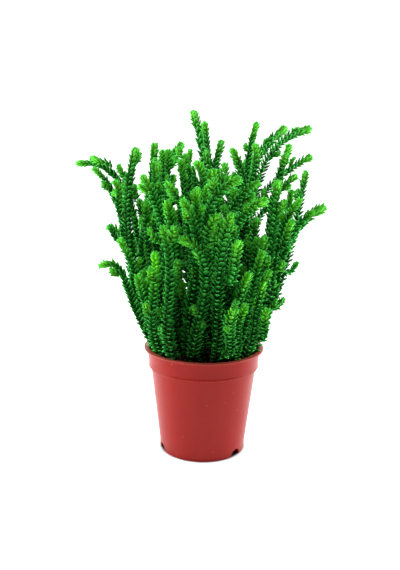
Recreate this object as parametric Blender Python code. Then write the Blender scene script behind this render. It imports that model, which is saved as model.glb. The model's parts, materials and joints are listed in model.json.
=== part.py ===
"""Watch chain plant growing in a small round nursery pot.

The pot is one thin moulded wall with a flat lip, a rim band, a tapered body and drain notches. The
potting mix fills it, and each leafy shoot is rooted in its own socket in the mix. Side shoots start
just clear of the shoot that carries them. A shoot is modelled as the slim sleeve that its small
overlapping leaves wrap round the stem. Lengths are in metres, +Z is up, and the origin is the middle
of the flat pad under the pot.
"""

import math
from collections import namedtuple

import bmesh
import bpy
import numpy as np

MM = 0.001

# Pot.
POT_HEIGHT = 75.5 * MM
LIP_RADIUS = 42.5 * MM
LIP_WIDTH = 2.6 * MM
LIP_THICKNESS = 1.2 * MM
BAND_HEIGHT = 13.5 * MM
BAND_DRAFT = 0.8 * MM
BODY_STEP = 1.6 * MM
STEP_HEIGHT = 0.9 * MM
BASE_RADIUS = 30.2 * MM
POT_WALL = 1.1 * MM
FOOT_RING_WIDTH = 2.6 * MM
FOOT_SLOPE = 1.0 * MM
BASE_RECESS = 1.4 * MM
BASE_PAD_RADIUS = 11.0 * MM
ROUND_SIDES = 60

# Drain notches in the foot of the wall.
NOTCH_WIDTH = 9.4 * MM
NOTCH_HEIGHT = 5.3 * MM
NOTCH_DEPTH = 6.0 * MM
NOTCH_BEARINGS = (-39.0, 81.0, 201.0)
NOTCH_ARC_POINTS = 9

# Potting mix and the sockets that the shoots are rooted in.
MIX_BELOW_RIM = 9.5 * MM
MIX_RISE = 2.0 * MM
SOCKET_DEPTH = 6.0 * MM
SOCKET_SIDES = 8

# Clearance between pieces that touch.
GAP = 0.3 * MM

# Plant.
HALF_SPREAD = 90.0 * MM
PLANT_HEIGHT = 185.0 * MM
PLANTING_MARGIN = 5.5 * MM
FOOT_LEAN = 36.0
STEM_RADIUS = 1.4 * MM
SLEEVE_RADIUS = 2.7 * MM
TWIG_RADIUS = 0.8 * MM
BARE_LENGTH = 6.0 * MM
LEAFING_LENGTH = 18.0 * MM
TIP_LENGTH = 2.0 * MM
TIP_SHARE = 0.62
FOOT_BOW = 0.38
TIP_BOW = 0.38
SIDE_ANGLE = 50.0
SHOOT_SIDES = 6
SHOOT_RINGS = 13
SIDE_SHOOT_RINGS = 8

# Settling the shoots clear of each other and of the lip.
RIM_GUARD_RADIUS = 2.2 * MM
RIM_GUARD_POINTS = 40
SEARCH_MARGIN = 5.0 * MM
SETTLE_ROUNDS = 600
SEARCH_EVERY = 10
SOFT_ROUNDS = 120
SOFT_SPREAD = 0.5
FIRM_SPREAD = 0.1
PUSH_SHARE = 0.6
CLOSE_ENOUGH = 0.02 * MM

# A tip's place is in percent of HALF_SPREAD, HALF_SPREAD and PLANT_HEIGHT, measured from the middle of
# the mix. lean is how far the tip leans from upright and bearing is the way it leans, both in degrees.
# foot_bow and tip_bow are how far the path keeps each end's direction, as shares of its span.
Tip = namedtuple("Tip", "x y z lean bearing foot_bow tip_bow", defaults=(FOOT_BOW, TIP_BOW))
Row = namedtuple("Row", "name depth tips")
SideShoot = namedtuple("SideShoot", "parent share tip")

# Seven planted rows from front to back. depth is in percent of PLANTING_RADIUS.
ROWS = (
    Row("front", -80, (
        Tip(-31, -64, 54, 20, 200),
        Tip(-17, -60, 50, 80, 190),
        Tip(17, -64, 59, 18, 0),
        Tip(30, -58, 27, 30, 330),
    )),
    Row("second", -53, (
        Tip(-37, -47, 44, 5, 200),
        Tip(-28, -47, 62, 15, 200),
        Tip(-17, -58, 63, 30, 190),
        Tip(-7, -44, 66, 5, 180),
        Tip(21, -67, 70, 65, 340),
        Tip(40, -44, 45, 15, 330),
        Tip(45, -40, 34, 20, 340),
    )),
    Row("third", -26, (
        Tip(-81, -22, 36, 115, 190, 0.62, 0.32),
        Tip(-64, -27, 47, 40, 190, 0.55, 0.20),
        Tip(-46, -38, 70, 30, 190),
        Tip(-28, -49, 68, 40, 190),
        Tip(0, -38, 67, 10, 0),
        Tip(3, -24, 72, 8, 180),
        Tip(41, -56, 63, 65, 345),
        Tip(51, -27, 69, 5, 0),
        Tip(69, -24, 62, 40, 350),
    )),
    Row("middle", 0, (
        Tip(-78, 4, 49, 80, 180, 0.52, 0.26),
        Tip(-52, -16, 79, 15, 350),
        Tip(-38, -13, 74, 5, 180),
        Tip(-20, -4, 75, 8, 180),
        Tip(18, -7, 79, 30, 180),
        Tip(38, -20, 68, 60, 350),
        Tip(61, -7, 81, 20, 350),
        Tip(93, 7, 58, 65, 0),
    )),
    Row("fifth", 25, (
        Tip(-43, 33, 80, 0, 180),
        Tip(-35, 16, 78, 0, 180),
        Tip(-24, 44, 79, 30, 180),
        Tip(11, 16, 82, 15, 0),
        Tip(38, 20, 89, 15, 0),
        Tip(78, 16, 71, 8, 0),
    )),
    Row("sixth", 50, (
        Tip(-108, 46, 72, 100, 175),
        Tip(-32, 53, 78, 0, 0),
        Tip(-13, 38, 93, 22, 180),
        Tip(25, 49, 75, 20, 180),
        Tip(64, 56, 87, 55, 10),
        Tip(73, 64, 62, 0, 0),
    )),
    Row("back", 76, (
        Tip(-21, 67, 80, 40, 10),
        Tip(-14, 73, 78, 10, 30),
        Tip(88, 62, 76, 65, 10),
        Tip(88, 67, 87, 80, 10),
    )),
)

# Side shoots. share is how far along its parent a side shoot starts, in percent.
SIDE_SHOOTS = (
    SideShoot("sixth_1", 75, Tip(-92, 42, 75, 5, 90)),
    SideShoot("sixth_1", 60, Tip(-72, 42, 72, 5, 90)),
    SideShoot("middle_2", 66, Tip(-69, -24, 67, 70, 190)),
    SideShoot("middle_2", 50, Tip(-71, -7, 63, 70, 190)),
    SideShoot("sixth_3", 66, Tip(-3, 33, 89, 0, 0)),
    SideShoot("third_6", 74, Tip(-10, -27, 74, 70, 180)),
    SideShoot("fifth_5", 66, Tip(35, 0, 81, 20, 180)),
    SideShoot("front_3", 58, Tip(23, -67, 50, 35, 350)),
    SideShoot("second_6", 42, Tip(31, -51, 38, 25, 340)),
    SideShoot("front_3", 20, Tip(21, -64, 27, 30, 330)),
    SideShoot("second_7", 34, Tip(48, -38, 23, 60, 350)),
    SideShoot("third_9", 66, Tip(63, -33, 55, 40, 330)),
    SideShoot("second_4", 50, Tip(10, -64, 57, 80, 345)),
    SideShoot("back_2", 58, Tip(14, 58, 73, 20, 180)),
)

FRESH_ROWS = ("front", "second", "third")

# Worked out from the sizes above.
BAND_TOP_RADIUS = LIP_RADIUS - LIP_WIDTH
BAND_FOOT_RADIUS = BAND_TOP_RADIUS - BAND_DRAFT
BODY_TOP_RADIUS = BAND_FOOT_RADIUS - BODY_STEP
BAND_FOOT_Z = POT_HEIGHT - BAND_HEIGHT
BODY_TOP_Z = BAND_FOOT_Z - STEP_HEIGHT
LIP_UNDER_Z = POT_HEIGHT - LIP_THICKNESS
RIM_INNER_RADIUS = BAND_TOP_RADIUS - POT_WALL
MIX_EDGE_HEIGHT = POT_HEIGHT - MIX_BELOW_RIM
MIX_CLEARANCE = POT_WALL + GAP


def clear_scene():
    for obj in list(bpy.data.objects):
        bpy.data.objects.remove(obj, do_unlink=True)


def make_material(name, colour, roughness, metallic=0.0):
    material = bpy.data.materials.new(name)
    material.use_nodes = True
    shader = material.node_tree.nodes["Principled BSDF"]
    shader.inputs["Base Color"].default_value = (*colour, 1.0)
    shader.inputs["Roughness"].default_value = roughness
    shader.inputs["Metallic"].default_value = metallic
    return material


def add_object(name, mesh, material=None):
    obj = bpy.data.objects.new(name, mesh)
    bpy.context.scene.collection.objects.link(obj)
    if material:
        mesh.materials.append(material)
    return obj


def make_cutter(name, mesh):
    """A shape that only cuts others and is never part of the model itself."""
    cutter = add_object(name, mesh)
    cutter.hide_render = True
    cutter.display_type = "WIRE"
    return cutter


def cut(obj, name, cutter):
    boolean = obj.modifiers.new(name, "BOOLEAN")
    boolean.operation = "DIFFERENCE"
    boolean.solver = "EXACT"
    boolean.object = cutter


def turned_mesh(name, outline, sides):
    """Turns an outline of (radius, height) points, from axis to axis, into one closed round solid."""
    bm = bmesh.new()
    points = [bm.verts.new((radius, 0.0, height)) for radius, height in outline]
    edges = [bm.edges.new(pair) for pair in zip(points, points[1:])]
    bmesh.ops.spin(
        bm, geom=points + edges, cent=(0, 0, 0), axis=(0, 0, 1),
        angle=math.tau, steps=sides, use_merge=True,
    )
    bmesh.ops.remove_doubles(bm, verts=bm.verts, dist=0.01 * MM)
    bmesh.ops.recalc_face_normals(bm, faces=bm.faces)
    mesh = bpy.data.meshes.new(name)
    bm.to_mesh(mesh)
    bm.free()
    mesh.shade_smooth()
    mesh.set_sharp_from_angle(angle=math.radians(35))
    return mesh


def wall_radius(z):
    """Outer radius of the pot's wall at height z, between the foot and the lip."""
    if z >= BAND_FOOT_Z:
        share = (z - BAND_FOOT_Z) / (POT_HEIGHT - BAND_FOOT_Z)
        return BAND_FOOT_RADIUS + BAND_DRAFT * share
    if z >= BODY_TOP_Z:
        share = (z - BODY_TOP_Z) / STEP_HEIGHT
        return BODY_TOP_RADIUS + BODY_STEP * share
    return BASE_RADIUS + (BODY_TOP_RADIUS - BASE_RADIUS) * z / BODY_TOP_Z


MIX_RADIUS = wall_radius(MIX_EDGE_HEIGHT) - MIX_CLEARANCE
PLANTING_RADIUS = MIX_RADIUS - PLANTING_MARGIN


def floor_outline(lift, corner):
    """One side of the pot's floor, from the axis out to the foot ring, which ends short by corner."""
    ring_outer = BASE_RADIUS - corner
    ring_inner = BASE_RADIUS - FOOT_RING_WIDTH
    return [
        (0.0, lift),
        (BASE_PAD_RADIUS, lift),
        (BASE_PAD_RADIUS + FOOT_SLOPE, lift + BASE_RECESS),
        (ring_inner - FOOT_SLOPE, lift + BASE_RECESS),
        (ring_inner, lift),
        (ring_outer, lift),
    ]


def make_pot(material):
    soft_edge = LIP_THICKNESS / 3
    outside = floor_outline(0.0, soft_edge)
    outside += [
        (wall_radius(soft_edge), soft_edge),
        (BODY_TOP_RADIUS, BODY_TOP_Z),
        (BAND_FOOT_RADIUS, BAND_FOOT_Z),
        (wall_radius(LIP_UNDER_Z), LIP_UNDER_Z),
        (LIP_RADIUS - soft_edge, LIP_UNDER_Z),
        (LIP_RADIUS, LIP_UNDER_Z + soft_edge),
        (LIP_RADIUS, POT_HEIGHT - soft_edge),
        (LIP_RADIUS - soft_edge, POT_HEIGHT),
    ]
    inside = [
        (RIM_INNER_RADIUS + soft_edge, POT_HEIGHT),
        (RIM_INNER_RADIUS, POT_HEIGHT - soft_edge),
        (BAND_FOOT_RADIUS - POT_WALL, BAND_FOOT_Z),
        (BODY_TOP_RADIUS - POT_WALL, BODY_TOP_Z),
    ]
    floor_inside = floor_outline(POT_WALL, 2 * POT_WALL)
    inside += [(wall_radius(2 * POT_WALL) - POT_WALL, 2 * POT_WALL)]
    inside += reversed(floor_inside)
    pot = add_object("pot", turned_mesh("pot", outside + inside, ROUND_SIDES), material)
    for number, bearing in enumerate(NOTCH_BEARINGS, start=1):
        cut(pot, f"Drain notch {number}", make_notch_cutter(number, bearing))
    return pot


def make_notch_cutter(number, bearing):
    """An arch, flat below the ground and round on top, pushed through the foot of the wall."""
    half = NOTCH_WIDTH / 2
    arch = [(-half, -NOTCH_HEIGHT)]
    for step in range(NOTCH_ARC_POINTS):
        turn = math.pi * (1 - step / (NOTCH_ARC_POINTS - 1))
        arch.append((half * math.cos(turn), NOTCH_HEIGHT * math.sin(turn)))
    arch.append((half, -NOTCH_HEIGHT))
    bm = bmesh.new()
    inner = BASE_RADIUS - NOTCH_DEPTH
    face = bm.faces.new([bm.verts.new((inner, side, height)) for side, height in arch])
    pushed = bmesh.ops.extrude_face_region(bm, geom=[face])["geom"]
    moved = [part for part in pushed if isinstance(part, bmesh.types.BMVert)]
    bmesh.ops.translate(bm, verts=moved, vec=(2 * NOTCH_DEPTH, 0, 0))
    bmesh.ops.recalc_face_normals(bm, faces=bm.faces)
    mesh = bpy.data.meshes.new(f"notch_cutter_{number}")
    bm.to_mesh(mesh)
    bm.free()
    cutter = make_cutter(f"notch_cutter_{number}", mesh)
    cutter.rotation_euler.z = math.radians(bearing)
    return cutter


def mix_height(radius):
    """Height of the potting mix, slightly mounded towards the middle of the pot."""
    return MIX_EDGE_HEIGHT + MIX_RISE * (1 - (radius / MIX_RADIUS) ** 2)


def make_mix(material, feet):
    """The body of potting mix, clear of the pot by the gap, with a socket for each foot."""
    clear = MIX_CLEARANCE
    bottom = clear + BASE_RECESS
    outline = [
        (0.0, bottom),
        (wall_radius(bottom) - clear, bottom),
        (BODY_TOP_RADIUS - clear, BODY_TOP_Z + GAP),
        (BAND_FOOT_RADIUS - clear, BAND_FOOT_Z + GAP),
        (MIX_RADIUS, MIX_EDGE_HEIGHT),
    ]
    for share in (0.75, 0.5, 0.25, 0.0):
        outline.append((MIX_RADIUS * share, mix_height(MIX_RADIUS * share)))
    mix = add_object("potting_mix", turned_mesh("potting_mix", outline, ROUND_SIDES), material)
    bm = bmesh.new()
    for foot in feet:
        bottom = mix_height(math.hypot(*foot)) - SOCKET_DEPTH
        drilled = bmesh.ops.create_cone(
            bm, cap_ends=True, segments=SOCKET_SIDES, depth=2 * SOCKET_DEPTH,
            radius1=STEM_RADIUS + 2 * GAP, radius2=STEM_RADIUS + 2 * GAP,
        )
        bmesh.ops.translate(bm, verts=drilled["verts"], vec=(*foot, bottom + SOCKET_DEPTH))
    mesh = bpy.data.meshes.new("socket_cutter")
    bm.to_mesh(mesh)
    bm.free()
    cut(mix, "Sockets", make_cutter("socket_cutter", mesh))
    return mix


def direction(lean, bearing):
    """Unit vector that leans from upright by lean towards bearing, both in degrees."""
    lean = math.radians(lean)
    bearing = math.radians(bearing)
    level = math.sin(lean)
    return np.array([level * math.cos(bearing), level * math.sin(bearing), math.cos(lean)])


def tip_place(tip):
    across = tip.x / 100 * HALF_SPREAD
    along = tip.y / 100 * HALF_SPREAD
    return np.array([across, along, mix_height(0.0) + tip.z / 100 * PLANT_HEIGHT])


def bowed_path(start, start_direction, tip, count):
    """Points on the smooth bow from start to the tip. The last two are close, to round the tip off."""
    end = tip_place(tip)
    span = np.linalg.norm(end - start)
    first = start + start_direction * span * tip.foot_bow
    second = end - direction(tip.lean, tip.bearing) * span * tip.tip_bow
    share = np.linspace(0.0, 1.0, count - 1)
    share = np.append(share[:-1], [1.0 - TIP_LENGTH / span, 1.0])[:, None]
    rest = 1.0 - share
    return (
        rest**3 * start + 3 * rest**2 * share * first
        + 3 * rest * share**2 * second + share**3 * end
    )


class Growth:
    """One shoot's middle line and thickness, before and while the shoots settle apart."""

    def __init__(self, name, path, radii, held, parent=None, joint=0, offset=None):
        self.name = name
        self.path = path
        self.planned = path.copy()
        self.radii = radii
        self.held = held
        self.parent = parent
        self.joint = joint
        self.offset = offset


def sleeve_radii(path, foot_radius):
    """Thickness along a shoot: a bare foot, the full leafy sleeve, and a blunt tip."""
    steps = np.linalg.norm(np.diff(path, axis=0), axis=1)
    travelled = np.concatenate([[0.0], np.cumsum(steps)])
    radii = np.interp(travelled, (BARE_LENGTH, LEAFING_LENGTH), (foot_radius, SLEEVE_RADIUS))
    radii[-2] = SLEEVE_RADIUS * TIP_SHARE
    radii[-1] = 0.0
    return radii


def row_feet(row):
    """Evenly spaced feet across the planted circle at the row's depth."""
    depth = row.depth / 100
    half = math.sqrt(1 - depth**2)
    return [
        (PLANTING_RADIUS * across, PLANTING_RADIUS * depth)
        for across in np.linspace(-half, half, len(row.tips))
    ]


def grow_shoot(name, foot, tip):
    """A shoot that rises straight out of its socket and then bows to its tip."""
    radius = math.hypot(*foot)
    surface = mix_height(radius)
    bottom = np.array([*foot, surface - SOCKET_DEPTH + GAP])
    start = np.array([*foot, surface + STEM_RADIUS])
    lean = FOOT_LEAN * radius / PLANTING_RADIUS
    outward = direction(lean, math.degrees(math.atan2(foot[1], foot[0])))
    path = bowed_path(start, outward, tip, SHOOT_RINGS - 1)
    path = np.vstack([bottom, path])
    return Growth(name, path, sleeve_radii(path, STEM_RADIUS), held=2)


def grow_side_shoot(name, plan, parent):
    """A side shoot that starts clear of its parent, on the side that faces its own tip."""
    joint = round(plan.share / 100 * (len(parent.path) - 1))
    origin = parent.path[joint]
    along = parent.path[joint + 1] - origin
    along /= np.linalg.norm(along)
    out = tip_place(plan.tip) - origin
    out -= along * out.dot(along)
    out /= np.linalg.norm(out)
    offset = out * (parent.radii[joint] + TWIG_RADIUS + 2 * GAP)
    angle = math.radians(SIDE_ANGLE)
    start_direction = along * math.cos(angle) + out * math.sin(angle)
    path = bowed_path(origin + offset, start_direction, plan.tip, SIDE_SHOOT_RINGS)
    radii = sleeve_radii(path, TWIG_RADIUS)
    return Growth(name, path, radii, held=1, parent=parent, joint=joint, offset=offset)


def rim_guard():
    """The pot's lip as a fixed ring that the shoots settle clear of."""
    middle = (RIM_INNER_RADIUS + LIP_RADIUS) / 2
    turn = np.linspace(0.0, math.tau, RIM_GUARD_POINTS + 1)
    height = np.full_like(turn, POT_HEIGHT - LIP_THICKNESS / 2)
    path = np.stack([middle * np.cos(turn), middle * np.sin(turn), height], axis=1)
    radii = np.full(len(path), RIM_GUARD_RADIUS)
    return Growth("rim", path, radii, held=len(path))


def nearest_shares(start_a, end_a, start_b, end_b):
    """Where on each pair of straight stretches the two come nearest, as shares from 0 to 1."""
    along_a = end_a - start_a
    along_b = end_b - start_b
    between = start_a - start_b
    square_a = np.einsum("ij,ij->i", along_a, along_a)
    square_b = np.einsum("ij,ij->i", along_b, along_b)
    both = np.einsum("ij,ij->i", along_a, along_b)
    lead_a = np.einsum("ij,ij->i", along_a, between)
    lead_b = np.einsum("ij,ij->i", along_b, between)
    crossing = np.maximum(square_a * square_b - both**2, 1e-20)
    share_a = np.clip((both * lead_b - lead_a * square_b) / crossing, 0.0, 1.0)
    share_b = np.clip((both * share_a + lead_b) / square_b, 0.0, 1.0)
    share_a = np.clip((both * share_b - lead_a) / square_a, 0.0, 1.0)
    return share_a, share_b


def pairs_within_reach(points, radii, starts, pair_a, pair_b):
    """The pairs of stretches near enough to touch within the next few rounds."""
    middle = (points[starts] + points[starts + 1]) / 2
    half = np.linalg.norm(points[starts + 1] - points[starts], axis=1) / 2
    room = np.zeros(len(points))
    room[starts] = half + np.maximum(radii[starts], radii[starts + 1])
    centre = np.zeros_like(points)
    centre[starts] = middle
    spacing = np.linalg.norm(centre[pair_a] - centre[pair_b], axis=1)
    close = spacing < room[pair_a] + room[pair_b] + SEARCH_MARGIN
    return pair_a[close], pair_b[close]


def push_apart(points, radii, near_a, near_b):
    """How far each point has to move to part the stretches that touch, or None when they are clear."""
    share_a, share_b = nearest_shares(
        points[near_a], points[near_a + 1], points[near_b], points[near_b + 1]
    )
    at_a = points[near_a] + (points[near_a + 1] - points[near_a]) * share_a[:, None]
    at_b = points[near_b] + (points[near_b + 1] - points[near_b]) * share_b[:, None]
    thick_a = radii[near_a] + (radii[near_a + 1] - radii[near_a]) * share_a
    thick_b = radii[near_b] + (radii[near_b + 1] - radii[near_b]) * share_b
    away = at_a - at_b
    distance = np.maximum(np.linalg.norm(away, axis=1), 1e-7)
    short = thick_a + thick_b + GAP - distance
    touching = short > 0
    if not touching.any() or short.max() < CLOSE_ENOUGH:
        return None
    push = np.zeros_like(points)
    weight = np.full(len(points), 1e-9)
    nudge = (away / distance[:, None] * (short + CLOSE_ENOUGH)[:, None] * PUSH_SHARE)[touching]
    for ends, share, sign in ((near_a, share_a, 1.0), (near_b, share_b, -1.0)):
        ends, share = ends[touching], share[touching]
        for step, amount in ((0, 1 - share), (1, share)):
            np.add.at(push, ends + step, sign * nudge * amount[:, None])
            np.add.at(weight, ends + step, amount)
    return push / np.maximum(weight, 1.0)[:, None]


def settle_apart(growths):
    """Nudges the shoots until no two sleeves are nearer than the gap, keeping every foot in its socket."""
    chains = [*growths, rim_guard()]
    firsts = np.cumsum([0] + [len(chain.path) for chain in chains])
    points = np.vstack([chain.path for chain in chains])
    planned = points.copy()
    radii = np.concatenate([chain.radii for chain in chains])
    owner = np.repeat(np.arange(len(chains)), [len(chain.path) for chain in chains])
    free = np.ones(len(points))
    for chain, first in zip(chains, firsts):
        free[first:first + chain.held] = 0.0
    inner = np.zeros(len(points), bool)
    for chain, first in zip(growths, firsts):
        inner[first + chain.held:first + len(chain.path) - 1] = True
    inner = np.flatnonzero(inner)
    tips = np.array([first + len(chain.path) - 1 for chain, first in zip(growths, firsts)])

    first_of = {chain.name: first for chain, first in zip(chains, firsts)}
    sides = [chain for chain in growths if chain.parent]
    side_feet = np.array([first_of[chain.name] for chain in sides])
    side_joints = np.array([first_of[chain.parent.name] + chain.joint for chain in sides])
    side_offsets = np.array([chain.offset for chain in sides])

    starts = np.flatnonzero(owner[:-1] == owner[1:])
    pair_a, pair_b = np.triu_indices(len(starts), 1)
    apart = owner[starts[pair_a]] != owner[starts[pair_b]]
    pair_a, pair_b = starts[pair_a[apart]], starts[pair_b[apart]]
    for settle_round in range(SETTLE_ROUNDS):
        if settle_round % SEARCH_EVERY == 0:
            near_a, near_b = pairs_within_reach(points, radii, starts, pair_a, pair_b)
        push = push_apart(points, radii, near_a, near_b)
        if push is None:
            break
        points += push * free[:, None]
        # The nudges spread along each shoot, so that it bends smoothly.
        spread = SOFT_SPREAD if settle_round < SOFT_ROUNDS else FIRM_SPREAD
        moved = points - planned
        smooth = moved.copy()
        smooth[inner] += spread * ((moved[inner - 1] + moved[inner + 1]) / 2 - moved[inner])
        smooth[tips] += spread * (moved[tips - 1] - moved[tips])
        points = planned + smooth
        points[side_feet] = points[side_joints] + side_offsets
    for chain, first in zip(growths, firsts):
        chain.path = points[first:first + len(chain.path)]


def ring_directions(path):
    """A pair of level directions across each point of the path, turned as little as possible."""
    tangents = np.gradient(path, axis=0)
    tangents /= np.linalg.norm(tangents, axis=1)[:, None]
    across = np.array([0.0, 1.0, 0.0])
    pairs = []
    for tangent in tangents:
        across = across - tangent * across.dot(tangent)
        across /= np.linalg.norm(across)
        pairs.append((across, np.cross(tangent, across)))
    return pairs


def make_shoot(growth, material):
    """A closed tapering tube round the shoot's middle line, pointed off at its tip."""
    bm = bmesh.new()
    rings = []
    turns = [math.tau * side / SHOOT_SIDES for side in range(SHOOT_SIDES)]
    for place, radius, (across, other) in zip(
        growth.path[:-1], growth.radii, ring_directions(growth.path)
    ):
        ring = [
            bm.verts.new(place + radius * (across * math.cos(turn) + other * math.sin(turn)))
            for turn in turns
        ]
        rings.append(ring)
    foot = bm.verts.new(growth.path[0])
    tip = bm.verts.new(growth.path[-1])
    for side in range(SHOOT_SIDES):
        after = (side + 1) % SHOOT_SIDES
        bm.faces.new((foot, rings[0][after], rings[0][side]))
        for lower, upper in zip(rings, rings[1:]):
            bm.faces.new((lower[side], lower[after], upper[after], upper[side]))
        bm.faces.new((rings[-1][side], rings[-1][after], tip))
    bmesh.ops.triangulate(bm, faces=bm.faces)
    mesh = bpy.data.meshes.new(growth.name)
    bm.to_mesh(mesh)
    bm.free()
    mesh.shade_smooth()
    return add_object(growth.name, mesh, material)


def main():
    clear_scene()
    plastic = make_material("pot plastic", (0.36, 0.035, 0.026), 0.38)
    mix = make_material("potting mix", (0.035, 0.024, 0.016), 0.95)
    fresh = make_material("fresh leaves", (0.20, 0.42, 0.09), 0.42)
    mature = make_material("mature leaves", (0.075, 0.22, 0.055), 0.5)

    growths = []
    feet = []
    for row in ROWS:
        for number, (foot, tip) in enumerate(zip(row_feet(row), row.tips), start=1):
            growths.append(grow_shoot(f"{row.name}_{number}", foot, tip))
            feet.append(foot)
    by_name = {growth.name: growth for growth in growths}
    for number, plan in enumerate(SIDE_SHOOTS, start=1):
        growths.append(grow_side_shoot(f"side_{number}", plan, by_name[plan.parent]))
    settle_apart(growths)

    make_pot(plastic)
    make_mix(mix, feet)
    for growth in growths:
        row = (growth.parent or growth).name.split("_")[0]
        kind = "side_shoot" if growth.parent else "shoot"
        growth.name = f"{kind}_{growth.name.removeprefix('side_')}"
        make_shoot(growth, fresh if row in FRESH_ROWS else mature)


main()
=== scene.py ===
"""Finished looks for a potted watch chain plant.

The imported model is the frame: a pot, its potting mix and the slim sleeves of the plant's shoots.
Every sleeve is dressed as a leafy shoot: a stem along its middle, small keeled leaves in opposite
pairs, each pair a quarter turn from the last, and the short sprigs and long branches that leave
it. The pot and the mix are made again in full detail round the same sizes. Run it as a script, or
use the panel in the 3D view's sidebar.
"""

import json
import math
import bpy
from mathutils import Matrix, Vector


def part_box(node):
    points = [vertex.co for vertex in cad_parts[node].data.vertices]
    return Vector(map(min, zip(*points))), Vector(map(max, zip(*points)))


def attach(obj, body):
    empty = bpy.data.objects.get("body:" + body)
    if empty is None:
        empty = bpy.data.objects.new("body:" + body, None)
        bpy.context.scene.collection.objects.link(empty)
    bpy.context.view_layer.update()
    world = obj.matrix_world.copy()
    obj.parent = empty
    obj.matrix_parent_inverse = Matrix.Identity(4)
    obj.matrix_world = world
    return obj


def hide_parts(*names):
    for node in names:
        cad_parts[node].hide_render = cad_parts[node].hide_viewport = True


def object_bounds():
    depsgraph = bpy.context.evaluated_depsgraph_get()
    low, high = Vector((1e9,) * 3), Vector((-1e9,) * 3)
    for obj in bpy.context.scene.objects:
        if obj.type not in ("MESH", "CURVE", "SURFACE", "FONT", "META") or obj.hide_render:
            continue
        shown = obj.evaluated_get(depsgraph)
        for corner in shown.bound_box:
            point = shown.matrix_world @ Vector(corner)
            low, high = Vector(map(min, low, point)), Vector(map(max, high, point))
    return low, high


bl_info = {
    "name": "Potted Watch Chain Plant",
    "version": (1, 0, 0),
    "blender": (4, 5, 0),
    "location": "3D View > Sidebar > Plant",
    "description": "Dresses a potted watch chain plant with leaves, a moulded pot and potting mix",
    "category": "Add Mesh",
}

import bmesh
import bpy
import numpy as np
from mathutils import Matrix, Vector

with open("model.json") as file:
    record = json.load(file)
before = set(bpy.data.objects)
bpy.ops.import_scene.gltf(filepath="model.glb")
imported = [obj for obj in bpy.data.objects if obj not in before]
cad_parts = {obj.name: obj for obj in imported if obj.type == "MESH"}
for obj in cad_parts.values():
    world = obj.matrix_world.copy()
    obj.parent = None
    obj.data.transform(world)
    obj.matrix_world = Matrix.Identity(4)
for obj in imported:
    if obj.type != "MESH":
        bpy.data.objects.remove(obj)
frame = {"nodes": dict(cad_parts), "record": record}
cad_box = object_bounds()

MM = 0.001
BODY = "root"
SHOOT_NODES = sorted(name for name in frame["nodes"] if "shoot" in name)
SUNNY_SHOOT = "shoot_second_1"  # the one low shoot with a long bright tip
POT_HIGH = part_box("pot")[1]
MIX_LOW, MIX_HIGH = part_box("potting_mix")


# ---------------------------------------------------------------- settings


def length(name, description, default):
    return bpy.props.FloatProperty(
        name=name, description=description, default=default, min=0.0, unit="LENGTH", precision=5
    )


def angle(name, description, degrees):
    return bpy.props.FloatProperty(
        name=name, description=description, default=math.radians(degrees), subtype="ANGLE"
    )


def share(name, description, default):
    return bpy.props.FloatProperty(
        name=name, description=description, default=default, min=0.0, max=1.0, subtype="FACTOR"
    )


def amount(name, description, default):
    return bpy.props.FloatProperty(name=name, description=description, default=default)


def colour(name, description, default):
    return bpy.props.FloatVectorProperty(
        name=name, description=description, default=default, size=3, min=0.0, max=1.0,
        subtype="COLOR",
    )


def count(name, description, default):
    return bpy.props.IntProperty(name=name, description=description, default=default, min=0)


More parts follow.
